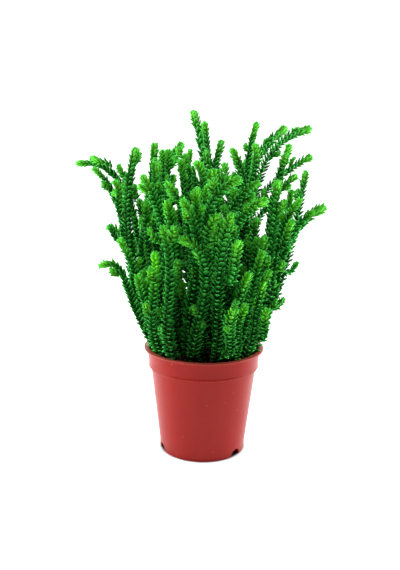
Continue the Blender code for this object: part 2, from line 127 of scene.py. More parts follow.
class PlantLeafSettings(bpy.types.PropertyGroup):
    """Sizes and colours of the leaves and stems."""

    leaf_length: length("Leaf length", "From the stem to the leaf's point", 5.5 * MM)
    leaf_width: length("Leaf width", "Across the widest part of a leaf", 3.0 * MM)
    leaf_thickness: length("Leaf thickness", "Through the keel", 0.8 * MM)
    tier_gap: length("Pair spacing", "Between one pair of leaves and the next", 1.5 * MM)
    bud_gap: length("Bud pair spacing", "Between pairs at the growing tip", 0.5 * MM)
    bud_length: length("Bud length", "Over which leaves reach full size", 4.0 * MM)
    bud_inset: length("Bud inset", "From the end of a shoot to its first pair", 2.2 * MM)
    stem_radius: length("Stem radius", "Half the thickness of a young stem", 0.7 * MM)
    foot_radius: length("Foot radius", "Half the thickness of the woody foot", 1.35 * MM)
    bare_length: length("Bare foot", "Length of stem with hardly a leaf", 4.0 * MM)
    leaf_lean: angle("Leaf lean", "How far grown leaves stand off the stem", 4.0)
    old_lean: angle("Old leaf lean", "How much further old leaves stand off", 15.0)
    bud_lean: angle("Bud lean", "How far bud leaves close over the tip", -20.0)
    turn_jitter: angle("Turn jitter", "How far leaves stray round the stem", 10.313)
    lean_jitter: angle("Lean jitter", "How far leaves stray in their lean", 6.875)
    size_jitter: share("Size jitter", "How much leaves differ in size", 0.12)
    stem_sides: count("Stem sides", "Flat faces round a stem", 7)
    sprig_spacing: length("Sprig spacing", "Between side sprigs along a shoot", 34.0 * MM)
    branch_spacing: length("Branch spacing", "Length of shoot for each long branch", 80.0 * MM)
    branch_room: length("Branch room", "From a long branch to its neighbours", 3.4 * MM)
    seed: count("Seed", "Chooses the small differences between leaves", 7)
    tip_colour: colour("Tip colour", "Leaves at the growing tips", (0.20, 0.86, 0.004))
    leaf_colour: colour("Leaf colour", "Grown leaves", (0.0008, 0.092, 0.0022))
    light_colour: colour("Light leaf colour", "The lightest grown leaves", (0.005, 0.21, 0.006))
    old_colour: colour("Old leaf colour", "Leaves low on a shoot", (0.0002, 0.038, 0.005))
    # Partly the leaf's own pale margin, partly a painted highlight on its point and rim.
    edge_and_highlight_colour: colour("Leaf point colour", "Thin point and rim of a leaf", (0.12, 0.84, 0.13))
    # A painted shade colour for the base of a leaf, where leaves overlap.
    painted_shade_colour: colour("Leaf base colour", "Shaded base of a leaf", (0.0, 0.018, 0.003))
    stem_colour: colour("Stem colour", "Young stems", (0.05, 0.17, 0.015))
    stem_grain: colour("Stem grain colour", "Darker grain of young stems", (0.04, 0.13, 0.012))
    wood_colour: colour("Wood colour", "Woody feet of the stems", (0.10, 0.075, 0.03))
    wood_grain: colour("Wood grain colour", "Lighter grain of the wood", (0.22, 0.17, 0.09))


class PlantPotSettings(bpy.types.PropertyGroup):
    """Sizes and colours of the pot."""

    lip_width: length("Lip width", "How far the lip stands out from the band", 2.6 * MM)
    lip_thickness: length("Lip thickness", "Top to bottom of the lip", 1.2 * MM)
    band_height: length("Band height", "From the pot's top to the band's lower edge", 13.5 * MM)
    band_draft: length("Band draft", "How much the band narrows downwards", 0.8 * MM)
    body_step: length("Step", "How far the wall steps in under the band", 1.6 * MM)
    step_height: length("Step height", "Height of the step", 0.9 * MM)
    base_radius: length("Foot radius", "Half the width of the pot's foot", 30.2 * MM)
    wall: length("Wall", "Thickness of the plastic", 1.1 * MM)
    foot_ring: length("Foot ring", "Width of the ring that the pot stands on", 2.6 * MM)
    recess: length("Recess", "Height of the floor above the foot ring", 1.4 * MM)
    pad_radius: length("Pad radius", "Half the width of the middle pad", 11.0 * MM)
    notch_width: length("Notch width", "Width of a drain notch", 9.4 * MM)
    notch_height: length("Notch height", "Height of a drain notch", 5.3 * MM)
    notch_reach: length("Notch reach", "How far a drain notch runs in", 6.0 * MM)
    notch_bearing: angle("Notch bearing", "Way that the first drain notch faces", -39.0)
    notch_count: count("Notches", "Drain notches round the foot", 3)
    sides: count("Sides", "Flat faces round the pot", 160)
    plastic_colour: colour("Plastic colour", "Moulded plastic", (0.30, 0.0040, 0.0002))
    flow_colour: colour("Flow mark colour", "Paler streaks in the plastic", (0.38, 0.014, 0.002))
    scuff_colour: colour("Scuff colour", "Rubbed patches", (0.55, 0.20, 0.14))
    dust_colour: colour("Dust colour", "Specks of dry mix", (0.80, 0.50, 0.42))
    # A painted highlight colour for the top of the lip.
    painted_lip_highlight_colour: colour("Worn lip colour", "The rubbed top of the lip", (0.60, 0.13, 0.10))
    roughness: share("Roughness", "Of the plastic", 0.36)


class PlantMixSettings(bpy.types.PropertyGroup):
    """Sizes and colours of the potting mix."""

    rise: length("Mound", "How far the middle stands above the edge", 2.0 * MM)
    crumb_size: length("Crumb size", "Across a middling crumb", 1.7 * MM)
    crumb_density: count("Crumb density", "Crumbs in each square centimetre", 34)
    seed: count("Seed", "Chooses where the crumbs lie", 3)
    sides: count("Sides", "Flat faces round the mix", 96)
    dark_colour: colour("Peat colour", "Damp peat", (0.022, 0.013, 0.008))
    light_colour: colour("Bark colour", "Dry bark and fibre", (0.16, 0.095, 0.05))


class PlantStageSettings(bpy.types.PropertyGroup):
    """The floor, the lights and the camera."""

    camera_height: length("Camera height", "Above the floor", 221.0 * MM)
    camera_distance: length("Camera distance", "From the pot's axis", 474.0 * MM)
    camera_aside: amount("Camera aside", "Metres sideways from the pot's axis", -3.5 * MM)
    camera_tilt: angle("Camera tilt", "Looking down from level", 12.07)
    camera_roll: angle("Camera roll", "Turned about its own line of sight", 1.0)
    focal_length: amount("Focal length", "In millimetres on a 36 mm wide sensor", 43.58)
    side_light: amount("Side lamp", "Power of each side lamp in watts", 10.5)
    top_light: amount("Top lamp", "Power of the top lamp in watts", 3.8)
    front_sky: amount("Front light", "Brightness of the room in front", 0.015)
    back_sky: amount("Back light", "Added brightness behind the plant", 1.0)
    top_sky: amount("Top light", "Added brightness overhead", 0.15)


# ---------------------------------------------------------------- node helpers


class Value:
    """A node's output. Sums on values add Math nodes."""

    def __init__(self, recipe, socket):
        self.recipe = recipe
        self.socket = socket

    def maths(self, operation, first, second=0.0, clamp=False):
        settings = {"operation": operation, "use_clamp": clamp}
        return self.recipe.add("ShaderNodeMath", settings, {0: first, 1: second})

    def __add__(self, other):
        return self.maths("ADD", self, other)

    __radd__ = __add__

    def __sub__(self, other):
        return self.maths("SUBTRACT", self, other)

    def __rsub__(self, other):
        return self.maths("SUBTRACT", other, self)

    def __mul__(self, other):
        return self.maths("MULTIPLY", self, other)

    __rmul__ = __mul__

    def __pow__(self, other):
        return self.maths("POWER", self, other)

    def clamped(self):
        return self.maths("ADD", self, 0.0, clamp=True)


class Recipe:
    """Adds nodes to a tree: any node by its type, its settings first, and then its sockets."""

    def __init__(self, tree):
        self.tree = tree

    def add(self, kind, settings=None, sockets=None, output=0):
        node = self.tree.nodes.new(kind)
        for name, setting in (settings or {}).items():
            if name == "stops":
                self.set_stops(node.color_ramp.elements, setting)
            else:
                setattr(node, name, setting)
        for key, value in (sockets or {}).items():
            self.feed(node.inputs[key], value)
        return Value(self, node.outputs[output]) if node.outputs else node

    @staticmethod
    def set_stops(elements, stops):
        while len(elements) < len(stops):
            elements.new(1.0)
        for element, (position, level) in zip(elements, stops):
            element.position = position
            element.color = (level, level, level, 1.0)

    def feed(self, socket, value):
        if isinstance(value, Value):
            self.tree.links.new(value.socket, socket)
        elif socket.type == "RGBA":
            socket.default_value = (*value[:3], 1.0)
        else:
            socket.default_value = value

    def other(self, value, output):
        """Another output of the node that a value comes from."""
        return Value(self, value.socket.node.outputs[output])


class Finish(Recipe):
    """A material with one Principled shader."""

    def __init__(self, name, **constants):
        self.material = bpy.data.materials.new(name)
        self.material.use_nodes = True
        super().__init__(self.material.node_tree)
        self.shader = self.tree.nodes["Principled BSDF"]
        for key, value in constants.items():
            self.feed(self.shader.inputs[key.replace("_", " ")], value)
        self.place = self.add("ShaderNodeTexCoord", output="Object")

    def set(self, socket, value):
        self.feed(self.shader.inputs[socket], value)

    def noise(self, scale, detail=2.0, roughness=0.5, place=None):
        """Soft blotches, about scale of them in a metre."""
        place = place or self.place
        sockets = {"Vector": place, "Scale": scale, "Detail": detail, "Roughness": roughness}
        return self.add("ShaderNodeTexNoise", None, sockets)

    def attribute(self, name):
        return self.add("ShaderNodeAttribute", {"attribute_name": name}, output="Fac")

    def mix(self, factor, first, second):
        """Two colours mixed. The node takes them in sockets 6 and 7 and gives them in output 2."""
        settings = {"data_type": "RGBA", "clamp_factor": True}
        return self.add("ShaderNodeMix", settings, {0: factor, 6: first, 7: second}, output=2)

    def ramp(self, value, *stops):
        """A level that follows a value through (position, level) stops."""
        return self.add("ShaderNodeValToRGB", {"stops": stops}, {"Fac": value})

    def bump(self, height, distance, strength):
        sockets = {"Height": height, "Distance": distance, "Strength": strength}
        self.set("Normal", self.add("ShaderNodeBump", None, sockets))


class Growth(Recipe):
    """A Geometry Nodes tree that takes a geometry and some named inputs."""

    def __init__(self, name, inputs):
        super().__init__(bpy.data.node_groups.new(name, "GeometryNodeTree"))
        face = self.tree.interface
        face.new_socket("Geometry", in_out="INPUT", socket_type="NodeSocketGeometry")
        for label, kind in inputs.items():
            face.new_socket(label, in_out="INPUT", socket_type=f"NodeSocket{kind}")
        face.new_socket("Geometry", in_out="OUTPUT", socket_type="NodeSocketGeometry")
        self.given = self.add("NodeGroupInput")

    def asked(self, name):
        return self.other(self.given, name)

    def field(self, name):
        settings = {"data_type": "FLOAT"}
        return self.add("GeometryNodeInputNamedAttribute", settings, {"Name": name})

    def random(self, low, high, seed=0):
        """A number for each point. Sockets 2 and 3 of the node hold its least and its most."""
        sockets = {2: low, 3: high, "Seed": seed}
        return self.add("FunctionNodeRandomValue", {"data_type": "FLOAT"}, sockets, output=1)

    def spread(self, reach, offset):
        """A number for each point between -reach and reach."""
        return self.random(0.0 - reach, reach, self.asked("Seed") + offset)

    def turned(self, rotation, axis, angle):
        """A rotation that turns on by an angle about one of its own axes."""
        turn = self.add("FunctionNodeAxisAngleToRotation", None, {"Axis": axis, "Angle": angle})
        sockets = {"Rotation": rotation, "Rotate By": turn}
        return self.add("FunctionNodeRotateRotation", {"rotation_space": "LOCAL"}, sockets)

    def object_shape(self, name):
        sockets = {"Object": self.asked(name)}
        return self.add("GeometryNodeObjectInfo", None, sockets, output="Geometry")

    def toned(self, instances, tone):
        settings = {"data_type": "FLOAT", "domain": "INSTANCE"}
        sockets = {"Geometry": instances, "Name": "tone", "Value": tone}
        return self.add("GeometryNodeStoreNamedAttribute", settings, sockets)

    def finished(self, geometry, name):
        sockets = {"Geometry": geometry, "Material": self.asked(name)}
        return self.add("GeometryNodeSetMaterial", None, sockets)

    def joined(self, first, second):
        both = self.add("GeometryNodeJoinGeometry", None, {"Geometry": first})
        self.feed(both.socket.node.inputs["Geometry"], second)
        return both


# ---------------------------------------------------------------- materials


def leaf_finish(sizes):
    """Waxy green that runs from bright tips to deep old leaves, with a paler point and rim.
    The point and rim are partly the leaf's own pale margin and partly a painted highlight, and
    each leaf's base is darkened with painted shade.

    fresh, old and tone come from the shoot, and run and rim from the place on the leaf.
    """
    finish = Finish("Leaf", Specular_IOR_Level=0.03)
    fresh = finish.attribute("fresh")
    old = finish.attribute("old")
    tone = finish.attribute("tone")
    run = finish.attribute("run")
    rim = finish.attribute("rim")
    mottle = finish.noise(900.0, 3.0)
    aged = (old + (mottle - 0.5) * 0.35).clamped()
    base = finish.mix(aged, sizes.leaf_colour, sizes.old_colour)
    base = finish.mix((tone - 0.3).clamped() * 0.5, base, sizes.light_colour)
    base = finish.mix(fresh.clamped(), base, sizes.tip_colour)
    # Paler point and rim: partly the leaf's own pale margin, partly a painted highlight where
    # edges catch the light.
    pale_rim_and_highlight = (run**6.0 + rim**3.0 * run**1.2 * 1.1) * (1.0 - old * 0.25)
    base = finish.mix(pale_rim_and_highlight.clamped(), base, sizes.edge_and_highlight_colour)
    # Painted shade: leaves darken towards their base, where they overlap, less so in the bright
    # buds.
    painted_shade = (1.0 - run * 1.8).clamped() * (0.9 - fresh * 0.7)
    finish.set("Base Color", finish.mix(painted_shade, base, sizes.painted_shade_colour))
    finish.set("Roughness", 0.42 + mottle * 0.22)
    finish.bump(finish.noise(2600.0, 2.0), 0.05 * MM, 0.35)
    return finish.material


def stem_finish(sizes):
    """Green young stem that turns to brown ribbed wood at the foot."""
    finish = Finish("Stem", Roughness=0.6)
    old = finish.attribute("old")
    grain = finish.noise(1500.0, 4.0)
    woody = finish.ramp(old + (grain - 0.5) * 0.3, (0.78, 0.0), (1.0, 1.0))
    green = finish.mix(grain, sizes.stem_colour, sizes.stem_grain)
    wood = finish.mix(grain, sizes.wood_colour, sizes.wood_grain)
    finish.set("Base Color", finish.mix(woody, green, wood))
    finish.bump(grain, 0.15 * MM, 0.6)
    return finish.material


def plastic_finish(sizes):
    """Semi-gloss moulded plastic with faint flow marks, scuffs and a dusting of dry mix, and a
    painted highlight along the top of the lip.
    """
    finish = Finish(
        "Pot plastic", Specular_IOR_Level=0.12, Coat_Weight=0.12, Coat_Roughness=0.15
    )
    cloud = finish.noise(28.0, 3.0)
    fine = finish.noise(1400.0, 2.0)
    stretched = finish.add(
        "ShaderNodeMapping", None, {"Vector": finish.place, "Scale": (1.0, 1.0, 0.12)}
    )
    flow = finish.noise(160.0, 3.0, place=stretched)
    scuff = finish.ramp(finish.noise(220.0, 6.0, 0.7), (0.62, 0.0), (0.74, 1.0))
    deep = tuple(0.80 * channel for channel in sizes.plastic_colour)
    base = finish.mix(cloud, deep, sizes.plastic_colour)
    base = finish.mix((flow - 0.45) * 0.35, base, sizes.flow_colour)
    base = finish.mix(scuff * 0.05, base, sizes.scuff_colour)
    specks = finish.ramp(finish.noise(520.0, 1.0), (0.77, 0.0), (0.80, 1.0))
    base = finish.mix(specks * 0.2, base, sizes.dust_colour)
    height = finish.add("ShaderNodeSeparateXYZ", None, {"Vector": finish.place}, output="Z")
    below_top = (height - POT_HIGH.z) * 100.0 + 1.0  # 0 at 10 mm below the top, 1 at the top
    # Painted highlight: the top millimetre of the lip is paler, as if it caught the light from
    # above.
    painted_lip_highlight = finish.ramp(below_top, (0.89, 0.0), (0.99, 1.0))
    finish.set("Base Color", finish.mix(painted_lip_highlight * 0.5, base, sizes.painted_lip_highlight_colour))
    finish.set("Roughness", sizes.roughness + (cloud - 0.5) * 0.12 + scuff * 0.12 + fine * 0.04)
    finish.bump(flow * 0.6 + fine * 0.4, 0.05 * MM, 0.25)
    return finish.material


def mix_finish(sizes):
    """Damp dark peat with lighter bark and fibre."""
    finish = Finish("Potting mix", Specular_IOR_Level=0.3)
    lump = finish.noise(420.0, 5.0, 0.65)
    tone = finish.attribute("tone")
    light = finish.ramp(lump * 0.6 + tone * 0.4, (0.50, 0.0), (0.78, 1.0))
    finish.set("Base Color", finish.mix(light, sizes.dark_colour, sizes.light_colour))
    finish.set("Roughness", 0.97 - lump * 0.15)
    finish.bump(finish.noise(1800.0, 4.0, 0.7), 0.4 * MM, 0.8)
    return finish.material


def floor_finish():
    """White sweep that glows, as a lit table does, but is dark in the shade under the pot.

    The ramp's positions are distances from the pot's axis, as shares of half a metre.
    """
    finish = Finish("Sweep", Roughness=0.9, Specular_IOR_Level=0.1, Emission_Strength=1.0)
    away = finish.add(
        "ShaderNodeVectorMath", {"operation": "LENGTH"}, {0: finish.place}, output="Value"
    )
    lit = finish.ramp(away * 2.0, (0.059, 0.0), (0.065, 0.85), (0.5, 0.85), (1.0, 1.0))
    painted_shade, white = (0.06, 0.05, 0.05), (0.96, 0.96, 0.96)
    finish.set("Base Color", finish.mix(lit, painted_shade, white))
    finish.set("Emission Color", lit)
    return finish.material


# ---------------------------------------------------------------- mesh helpers


def add_piece(name, mesh, material=None):
    piece = bpy.data.objects.new(name, mesh)
    bpy.context.scene.collection.objects.link(piece)
    if material:
        mesh.materials.append(material)
    return piece


def plain_mesh(bm, name):
    """Writes what was built out as a mesh and frees the builder."""
    mesh = bpy.data.meshes.new(name)
    bm.to_mesh(mesh)
    bm.free()
    return mesh


def settle(piece):
    """Replaces a piece's mesh with what its modifiers make of it, and drops them."""
    graph = bpy.context.evaluated_depsgraph_get()
    mesh = bpy.data.meshes.new_from_object(piece.evaluated_get(graph), depsgraph=graph)
    mesh.name = piece.name
    piece.modifiers.clear()
    piece.data = mesh


def dress(piece, node):
    """Makes a piece ride with the object, in the place of one of the frame's nodes."""
    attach(piece, BODY)
    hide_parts(node)


def smooth_step(low, high, value):
    """0 below low, 1 above high, and an S curve between them."""
    part = np.clip((np.asarray(value) - low) / (high - low), 0.0, 1.0)
    return part * part * (3.0 - 2.0 * part)


# ---------------------------------------------------------------- shoots

OFFSHOOT_BARE = 0.5 * MM  # bare stem at the foot of a branch or sprig
ROOTED_BARE = 6.0 * MM  # the least bare stem above the mix
LOOSE_FROM, LOOSE_TO = 30 * MM, 110 * MM  # from the tip, where pairs grow further apart
FRESH_TONE, GROWN_TONE = (0.40, 0.80), (0.15, 0.65)  # least and most, from dark to light
LONG_BRANCH = ((0.08, 0.45), (0.45, 0.78))  # its starts and runs, for Crown.branch
LOW_BRANCH = ((0.05, 0.12), (0.20, 0.45))
SPRIG_TIP_GAP = (12.0, 26.0)  # millimetres from a shoot's tip to its first sprig
SPRIG_FOOT_GAP = 24 * MM  # kept free of sprigs
SPRIG_REACH = (8.0, 18.0)  # millimetres
SPRIG_LEAN = (38.0, 58.0)  # degrees off the shoot
SPRIG_LONGEST, SPRIG_DULLEST = 60 * MM, 80 * MM  # from the tip


def rings_from(vert):
    """The mesh's vertices in rings, by how many edges away from vert they are."""
    rings, seen, ring = [], {vert}, [vert]
    while ring:
        rings.append(ring)
        beyond = [edge.other_vert(near) for near in ring for edge in near.link_edges]
        ring = []
        for found in beyond:
            if found not in seen:
                seen.add(found)
                ring.append(found)
    return rings


def middle_line(node):
    """A shoot's ring centres from foot to tip, read from its sleeve in the frame."""
    bm = bmesh.new()
    bm.from_mesh(frame["nodes"][node].data)
    bmesh.ops.remove_doubles(bm, verts=bm.verts, dist=1e-6)
    for candidate in bm.verts:
        rings = rings_from(candidate)
        sizes = {len(ring) for ring in rings[1:]}
        if len(sizes) == 1 and len(rings) > 4:
            line = [sum((vert.co for vert in ring), Vector()) / len(ring) for ring in rings]
            bm.free()
            return np.array(line)[::-1]
    raise RuntimeError(f"{node} isn't a tube with one pointed end")


def smooth_line(points, spacing=0.5 * MM):
    """A close row of points on a smooth curve through the given ones."""
    padded = np.vstack([2 * points[0] - points[1], points, 2 * points[-1] - points[-2]])
    rows = []
    for index in range(1, len(padded) - 2):
        before, start, end, after = padded[index - 1:index + 3]
        steps = max(2, int(np.linalg.norm(end - start) / spacing))
        part = np.linspace(0.0, 1.0, steps, endpoint=False)[:, None]
        rows.append(
            0.5 * (
                2 * start + (end - before) * part
                + (2 * before - 5 * start + 4 * end - after) * part**2
                + (3 * start - before - 3 * end + after) * part**3
            )
        )
    rows.append(points[-1:])
    return np.vstack(rows)


def travelled(line):
    """Distance along a line at each of its points."""
    steps = np.linalg.norm(np.diff(line, axis=0), axis=1)
    return np.concatenate([[0.0], np.cumsum(steps)])


def pair_places(whole, bare, sizes, looseness):
    """Distances back from the tip at which pairs of leaves grow, closer together in the bud."""
    places, back = [], sizes.bud_inset
    while back < whole - bare:
        places.append(back)
        opened = float(smooth_step(0.8 * sizes.bud_length, 2.2 * sizes.bud_length, back))
        gap = sizes.bud_gap + (sizes.tier_gap - sizes.bud_gap) * opened
        back += gap * (1.0 + looseness * float(smooth_step(LOOSE_FROM, LOOSE_TO, back)))
    return np.array(places)


def along_line(line, whole, places):
    """The points of a line at some distances along it."""
    return np.stack([np.interp(places, whole, line[:, axis]) for axis in range(3)], axis=1)


class Shoot:
    """One leafy shoot, branch or sprig: where its pairs of leaves grow and how they look there."""

    foot_step = 1.5 * MM  # between the points of the bare stem
    tip_inset = 0.2 * MM  # from the end of the shoot to the end of its stem
    size_wave = 9 * MM  # along which leaves grow and shrink a little
    spread_from, spread_to = 25 * MM, 90 * MM  # from the tip, where leaves open out
    bright_reach = 9 * MM  # from the tip, where leaves are bright
    wood_reach = 20 * MM  # from the foot of a rooted shoot
    old_from, old_to = 14 * MM, 75 * MM  # from the tip, where leaves turn dark

    def __init__(self, line, sizes, random, scale, bare, tone, age, young=0.0):
        whole = travelled(line)
        back = pair_places(whole[-1], bare, sizes, random.uniform(0.1, 0.5))[::-1]
        feet = np.arange(0.0, max(whole[-1] - back[0], 1e-6), self.foot_step)
        back = np.concatenate([whole[-1] - feet, back, [self.tip_inset]])
        along = whole[-1] - back
        self.points = along_line(line, whole, along)
        grown = smooth_step(-0.4 * sizes.bud_length, sizes.bud_length + sizes.bud_inset, back)
        opened = smooth_step(0.0, 2.0 * sizes.bud_length, back)
        drift = random.uniform(0.0, math.tau)
        self.turn = np.arange(len(along)) * (math.pi / 2 + random.uniform(-0.02, 0.02)) + drift
        self.size = scale * grown * (1.0 + 0.07 * np.sin(along / self.size_wave + drift))
        self.size[:len(feet)] = 0.0
        self.size[-1] = 0.0
        self.lean = sizes.bud_lean + (sizes.leaf_lean - sizes.bud_lean) * opened
        self.lean += sizes.old_lean * smooth_step(self.spread_from, self.spread_to, back)
        bright = self.bright_reach * (1.0 + 0.9 * young)
        self.fresh = 0.9 * np.exp(-((back / bright) ** 1.8)) * (0.5 + 0.8 * tone)
        self.tone = np.full(len(along), tone)
        rooted = bare > OFFSHOOT_BARE
        thick = np.interp(along, (0.0, self.wood_reach), (1.0, 0.0)) * rooted
        self.old = smooth_step(self.old_from, self.old_to, back) * 0.7 + thick * 0.3
        self.old = np.clip(self.old + age, 0.0, 1.0)
        slim = sizes.stem_radius * (0.3 + 0.7 * grown)
        self.stem = scale * (slim + (sizes.foot_radius - sizes.stem_radius) * thick)


def sprigs_of(line, sizes, random, tone):
    """Short side sprigs, each with its tone, that leave a shoot sideways and turn up beside it."""
    whole = travelled(line)
    sprigs = []
    back = random.uniform(*SPRIG_TIP_GAP) * MM
    while back < whole[-1] - SPRIG_FOOT_GAP:
        place, ahead = along_line(line, whole, whole[-1] - back + np.array([0.0, 2 * MM]))
        along = (ahead - place) / np.linalg.norm(ahead - place)
        across = np.cross(along, random.normal(size=3))
        across /= np.linalg.norm(across)
        reach = random.uniform(*SPRIG_REACH) * MM * (0.7 + 0.6 * min(back / SPRIG_LONGEST, 1.0))
        lean = math.radians(random.uniform(*SPRIG_LEAN))
        out = along * math.cos(lean) + across * math.sin(lean)
        up = along * math.cos(lean * 0.35) + across * math.sin(lean * 0.35)
        middle = place + out * reach * 0.55
        end = middle + up * reach * 0.5
        dulled = tone - 0.9 * min(back / SPRIG_DULLEST, 1.0)
        sprigs.append((np.stack([place, place + out * reach * 0.25, middle, end]), dulled))
        back += sizes.sprig_spacing * random.uniform(0.55, 1.5)
    return sprigs


class Crown:
    """All the space that shoots fill so far, so that long branches go where there is room."""

    sample = 3.0 * MM  # between the points kept of a shoot
    tries = 14  # at each branch
    steps = 24  # points along a branch
    far = 9 * MM  # from a neighbour, past which more room doesn't count
    margin = 4 * MM  # kept clear inside the plant's box and above the pot
    rim_gap = 9 * MM  # kept clear inside the pot's lip
    asides = (7.0, 15.0)  # millimetres between a branch and its shoot

    def __init__(self, lines, sizes):
        self.sizes = sizes
        self.taken = np.vstack([self.thinned(line) for line in lines])
        self.low = np.array(cad_box[0])
        self.high = np.array(cad_box[1])

    def thinned(self, line):
        whole = travelled(line)
        return along_line(line, whole, np.arange(0.0, whole[-1], self.sample))

    def room(self, path):
        """Mean distance to the nearest shoot along the free part of a path."""
        free = path[len(path) // 3:]
        away = np.linalg.norm(free[:, None] - self.taken[None], axis=2).min(axis=1)
        return float(np.minimum(away, self.far).mean())

    def allowed(self, path, parent):
        """Whether a path stays in the plant's box, off the lip and about as deep as its shoot."""
        if (path < self.low + self.margin).any() or (path > self.high - self.margin).any():
            return False
        reach = np.hypot(path[:, 0], path[:, 1])
        near_pot = reach[path[:, 2] < POT_HIGH.z + self.margin]
        if (near_pot > POT_HIGH.x - self.rim_gap).any():
            return False
        return bool((reach <= np.hypot(parent[:, 0], parent[:, 1]) + 2 * MM).all())

    def branch(self, line, random, starts, runs):
        """The roomiest of some branches that leave a shoot and run beside it, deeper in the crown.

        starts and runs are the least and most share of the shoot at which a branch starts, and of
        the rest of the shoot that it runs beside.
        """
        whole = travelled(line)
        best, best_room = None, self.sizes.branch_room
        for _ in range(self.tries):
            start = whole[-1] * random.uniform(*starts)
            run = (whole[-1] - start) * random.uniform(*runs)
            parent = along_line(line, whole, start + np.linspace(0.0, run, self.steps))
            ahead = parent[3] - parent[0]
            across = np.cross(ahead, random.normal(size=3))
            across /= np.linalg.norm(across)
            aside = random.uniform(*self.asides) * MM
            part = np.linspace(0.0, 1.0, self.steps)
            spread = smooth_step(-0.12, 0.45, part) - smooth_step(-0.12, 0.45, 0.0)
            path = parent + across * (aside * (spread + 0.25 * part))[:, None]
            if self.allowed(path, parent) and self.room(path) > best_room:
                best, best_room = path, self.room(path)
        if best is not None:
            self.taken = np.vstack([self.taken, self.thinned(best)])
        return best


def branch_plans(line, rooted, sizes):
    """The starts and runs of a shoot's branches. The front rows have none, the back ones more."""
    foot = line[0][1]
    plans = []
    if foot >= -0.35 * MIX_HIGH.y:
        plans += [LONG_BRANCH] * int(travelled(line)[-1] / sizes.branch_spacing)
    if rooted and foot > -0.1 * MIX_HIGH.y:
        plans += [LOW_BRANCH] * 2
    return plans


def grown_from(node, line, is_fresh, crown, sizes, random):
    """A shoot of the frame, with all its branches and sprigs."""
    rooted = node.startswith("shoot")
    tone = random.uniform(*(FRESH_TONE if is_fresh else GROWN_TONE))
    young = 1.0 if node == SUNNY_SHOOT else 0.0
    tone += 0.5 * young
    bare = OFFSHOOT_BARE
    if rooted:
        bare = ROOTED_BARE + sizes.bare_length * random.uniform(0.6, 1.6)
    scale = random.uniform(0.94, 1.14)
    grown = [Shoot(line, sizes, random, scale, bare, tone, 0.0, young)]
    offshoots = sprigs_of(line, sizes, random, tone)
    for starts, runs in branch_plans(line, rooted, sizes):
        path = crown.branch(line, random, starts, runs)
        if path is not None:
            branch = smooth_line(path)
            # Branches and their sprigs run deeper in the crown: the duller tones and the added age
            # darken them, partly as older growth and partly as painted shade of the crown's depth.
            grown.append(Shoot(branch, sizes, random, scale, OFFSHOOT_BARE, tone * 0.55, 0.3))
            offshoots += sprigs_of(branch, sizes, random, tone * 0.6)
    for sprig, sprig_tone in offshoots:
        small = random.uniform(0.8, 0.95)
        sprig_line = smooth_line(sprig, 0.3 * MM)
        grown.append(Shoot(sprig_line, sizes, random, small, OFFSHOOT_BARE, sprig_tone, 0.1))
    return grown


def path_object(name, shoots):
    """Shoots as rows of joined points that carry what their leaves need."""
    points = np.vstack([shoot.points for shoot in shoots])
    firsts = np.cumsum([0] + [len(shoot.points) for shoot in shoots])
    edges = [
        (index, index + 1)
        for first, after in zip(firsts, firsts[1:])
        for index in range(first, after - 1)
    ]
    mesh = bpy.data.meshes.new(name)
    mesh.from_pydata(points.tolist(), edges, [])
    for field in ("turn", "size", "lean", "fresh", "old", "tone", "stem"):
        attribute = mesh.attributes.new(field, "FLOAT", "POINT")
        values = np.concatenate([getattr(shoot, field) for shoot in shoots]).astype(np.float32)
        attribute.data.foreach_set("value", values)
    return add_piece(name, mesh)


def leaf_mesh(sizes):
    """One small keeled leaf that grows up and out from the origin along X and Z.

    Each station is (share of length, lean from upright in degrees, share of width, share of
    thickness). Round each run four points: a rim, the keel, the other rim and the inner face.
    """
    stations = (
        (0.00, 62.0, 0.55, 0.60),
        (0.20, 58.0, 1.00, 1.00),
        (0.46, 33.0, 0.98, 0.95),
        (0.75, 30.0, 0.62, 0.70),
    )
    point_lean = 44.0
    round_leaf = ((-1.0, 0.0), (0.0, 1.0), (1.0, 0.0), (0.0, -0.20))  # (across, outward)
    curl = 0.42  # how far the rims turn in, as a share of the half width
    bm = bmesh.new()
    run = bm.verts.layers.float.new("run")
    rim = bm.verts.layers.float.new("rim")
    place = Vector((0.0, 0.0, 0.0))
    gone = 0.0
    rings = []
    for reach, lean, wide, thick in stations:
        lean = math.radians(lean)
        along = Vector((math.sin(lean), 0.0, math.cos(lean)))
        out = Vector((math.cos(lean), 0.0, -math.sin(lean)))
        place = place + along * (reach - gone) * sizes.leaf_length
        gone = reach
        half = sizes.leaf_width / 2 * wide
        ring = []
        for side, bulge in round_leaf:
            lift = bulge * sizes.leaf_thickness * thick - curl * half * side * side
            vert = bm.verts.new(place + out * lift + Vector((0.0, side * half, 0.0)))
            vert[run] = reach
            vert[rim] = abs(side)
            ring.append(vert)
        rings.append(ring)
    lean = math.radians(point_lean)
    along = Vector((math.sin(lean), 0.0, math.cos(lean)))
    point = bm.verts.new(place + along * (1.0 - gone) * sizes.leaf_length)
    point[run] = 1.0
    point[rim] = 1.0
    for index in range(len(round_leaf)):
        after = (index + 1) % len(round_leaf)
        for lower, upper in zip(rings, rings[1:]):
            bm.faces.new((lower[index], lower[after], upper[after], upper[index]))
        bm.faces.new((rings[-1][index], rings[-1][after], point))
    bm.faces.new(reversed(rings[0]))
    bmesh.ops.recalc_face_normals(bm, faces=bm.faces)
    mesh = plain_mesh(bm, "leaf")
    mesh.shade_smooth()
    return mesh


